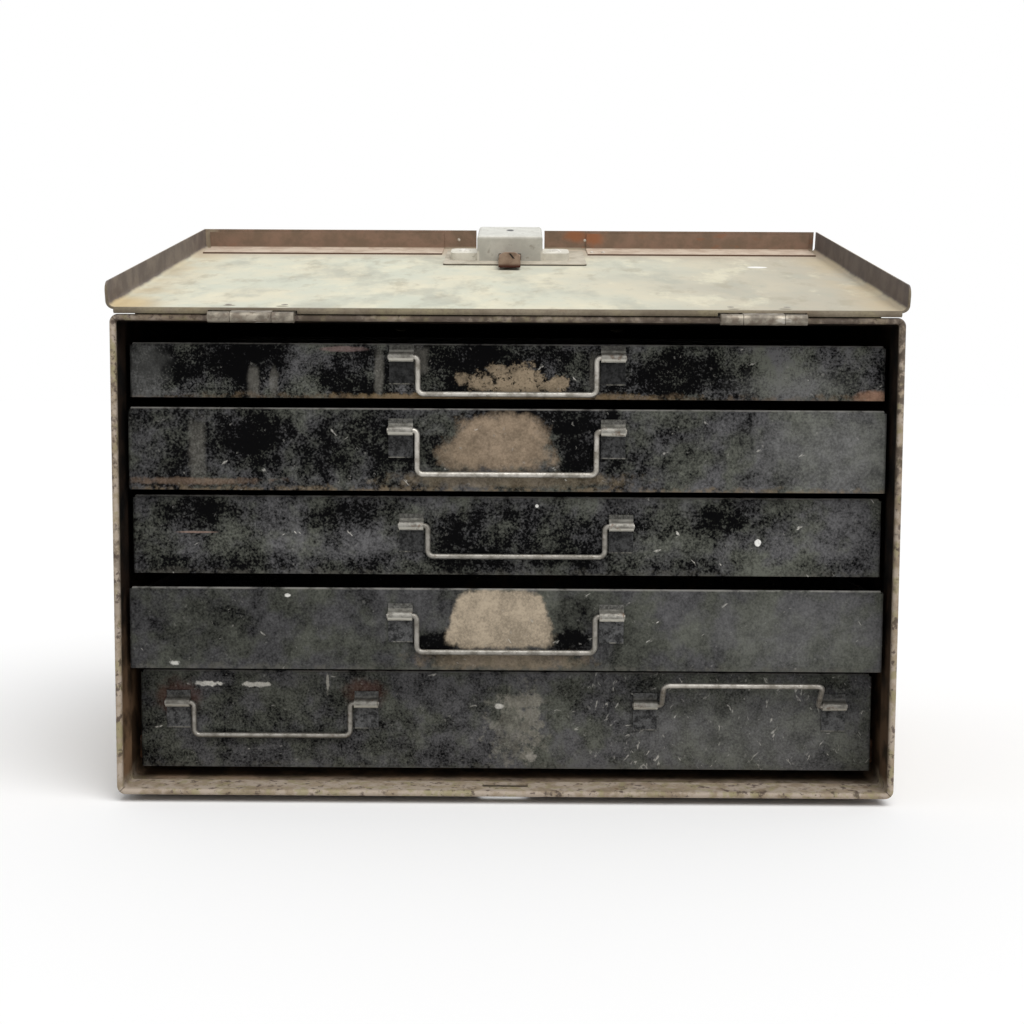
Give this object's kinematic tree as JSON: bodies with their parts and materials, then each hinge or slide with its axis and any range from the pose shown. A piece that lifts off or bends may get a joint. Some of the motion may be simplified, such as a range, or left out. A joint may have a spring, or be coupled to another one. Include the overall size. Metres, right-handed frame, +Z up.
{
  "type": "drawer tool box",
  "caption": "Steel tool box with a stack of shallow drawers on side runners, wire pulls and a hinged front cover with a key lock that folds back over the top.",
  "frame": {"origin": "middle of the footprint of the whole box at the underside of its skids", "axes": "+X to the right seen from the front, +Y to the back, +Z up; the drawers open along -Y"},
  "size_m": [0.46, 0.3136, 0.3643],
  "materials": {
    "cabinet_paint": "worn beige paint over steel sheet, rusty inside",
    "dark_paint": "dark worn paint",
    "runner_steel": "rust-brown steel",
    "drawer_enamel": "black enamel, dusty and rubbed",
    "cover_paint": "cream paint, yellowed at the edges",
    "rusty_steel": "bare steel with brown rust",
    "zinc_plate": "dull grey zinc",
    "worn_steel": "worn plated steel"
  },
  "bodies": {
    "cabinet": {"cabinet_shell": "cabinet_paint", "back_panel": "dark_paint", "skids": "dark_paint", "carrying_handle": "dark_paint", "handle_rivets": "worn_steel", "runners_1": "runner_steel", "runners_2": "runner_steel", "runners_3": "runner_steel", "runners_4": "runner_steel", "runners_5": "runner_steel", "cabinet_leaf_left": "worn_steel", "cabinet_leaf_right": "worn_steel", "hinge_pin_left": "worn_steel", "hinge_pin_right": "worn_steel", "cabinet_leaf_rivets": "worn_steel"},
    "drawer_1": {"drawer_1_tray": "drawer_enamel", "drawer_1_front": "drawer_enamel", "drawer_1_clips": "worn_steel"},
    "drawer_2": {"drawer_2_tray": "drawer_enamel", "drawer_2_front": "drawer_enamel", "drawer_2_clips": "worn_steel"},
    "drawer_3": {"drawer_3_tray": "drawer_enamel", "drawer_3_front": "drawer_enamel", "drawer_3_clips": "worn_steel"},
    "drawer_4": {"drawer_4_tray": "drawer_enamel", "drawer_4_front": "drawer_enamel", "drawer_4_clips": "worn_steel"},
    "drawer_5": {"drawer_5_tray": "drawer_enamel", "drawer_5_front": "drawer_enamel", "drawer_5_clips": "worn_steel"},
    "pull_1": {"pull_1": "worn_steel"},
    "pull_2": {"pull_2": "worn_steel"},
    "pull_3": {"pull_3": "worn_steel"},
    "pull_4": {"pull_4": "worn_steel"},
    "pull_5_left": {"pull_5_left": "worn_steel"},
    "pull_5_right": {"pull_5_right": "worn_steel"},
    "cover": {"cover_pan": "cover_paint", "stiffener_left": "rusty_steel", "stiffener_right": "rusty_steel", "cover_leaf_left": "worn_steel", "cover_leaf_right": "worn_steel", "cover_leaf_rivets": "worn_steel", "lock_plate": "zinc_plate", "lock_case": "zinc_plate", "lock_rivets": "worn_steel", "lock_ring": "zinc_plate"},
    "key_plug": {"lock_plug": "worn_steel"},
    "bolt": {"lock_bolt": "rusty_steel"}
  },
  "joints": [
    {"name": "cover_hinge", "type": "hinge", "parent": "cabinet", "child": "cover", "pos_m": [0, -0.1537, 0.2836], "axis": [-1, 0, 0], "range_deg": [-257.3, 0]},
    {"name": "drawer_1_slide", "type": "slide", "parent": "cabinet", "child": "drawer_1", "axis": [0, -1, 0], "range_m": [-0.0141, 0.1859]},
    {"name": "drawer_2_slide", "type": "slide", "parent": "cabinet", "child": "drawer_2", "axis": [0, -1, 0], "range_m": [-0.0202, 0.1798]},
    {"name": "drawer_3_slide", "type": "slide", "parent": "cabinet", "child": "drawer_3", "axis": [0, -1, 0], "range_m": [-0.0124, 0.1876]},
    {"name": "drawer_4_slide", "type": "slide", "parent": "cabinet", "child": "drawer_4", "axis": [0, -1, 0], "range_m": [-0.023, 0.177]},
    {"name": "drawer_5_slide", "type": "slide", "parent": "cabinet", "child": "drawer_5", "axis": [0, -1, 0], "range_m": [0, 0.2]},
    {"name": "pull_1_swing", "type": "hinge", "parent": "drawer_1", "child": "pull_1", "pos_m": [0, -0.1303, 0.2622], "axis": [-1, 0, 0], "range_deg": [0, 120]},
    {"name": "pull_2_swing", "type": "hinge", "parent": "drawer_2", "child": "pull_2", "pos_m": [0, -0.1364, 0.2192], "axis": [-1, 0, 0], "range_deg": [0, 120]},
    {"name": "pull_3_swing", "type": "hinge", "parent": "drawer_3", "child": "pull_3", "pos_m": [0.0058, -0.1286, 0.1628], "axis": [-1, 0, 0], "range_deg": [0, 120]},
    {"name": "pull_4_swing", "type": "hinge", "parent": "drawer_4", "child": "pull_4", "pos_m": [0, -0.1392, 0.1104], "axis": [-1, 0, 0], "range_deg": [0, 120]},
    {"name": "pull_5_left_swing", "type": "hinge", "parent": "drawer_5", "child": "pull_5_left", "pos_m": [-0.142, -0.1162, 0.0531], "axis": [-1, 0, 0], "range_deg": [0, 120]},
    {"name": "pull_5_right_swing", "type": "hinge", "parent": "drawer_5", "child": "pull_5_right", "pos_m": [0.142, -0.1162, 0.0531], "axis": [-1, 0, 0], "range_deg": [-138, 30]},
    {"name": "key_turn", "type": "hinge", "parent": "cover", "child": "key_plug", "pos_m": [0, 0.08277, 0.34007], "axis": [0, -0.2198, 0.9755], "range_deg": [-90, 0]},
    {"name": "bolt_slide", "type": "slide", "parent": "cover", "child": "bolt", "axis": [0, 0.9755, 0.2198], "range_m": [0, 0.009]}
  ],
  "couplings": [
    {"joint": "key_turn", "follows": "bolt_slide", "rad_per_m": -174.53}
  ]
}
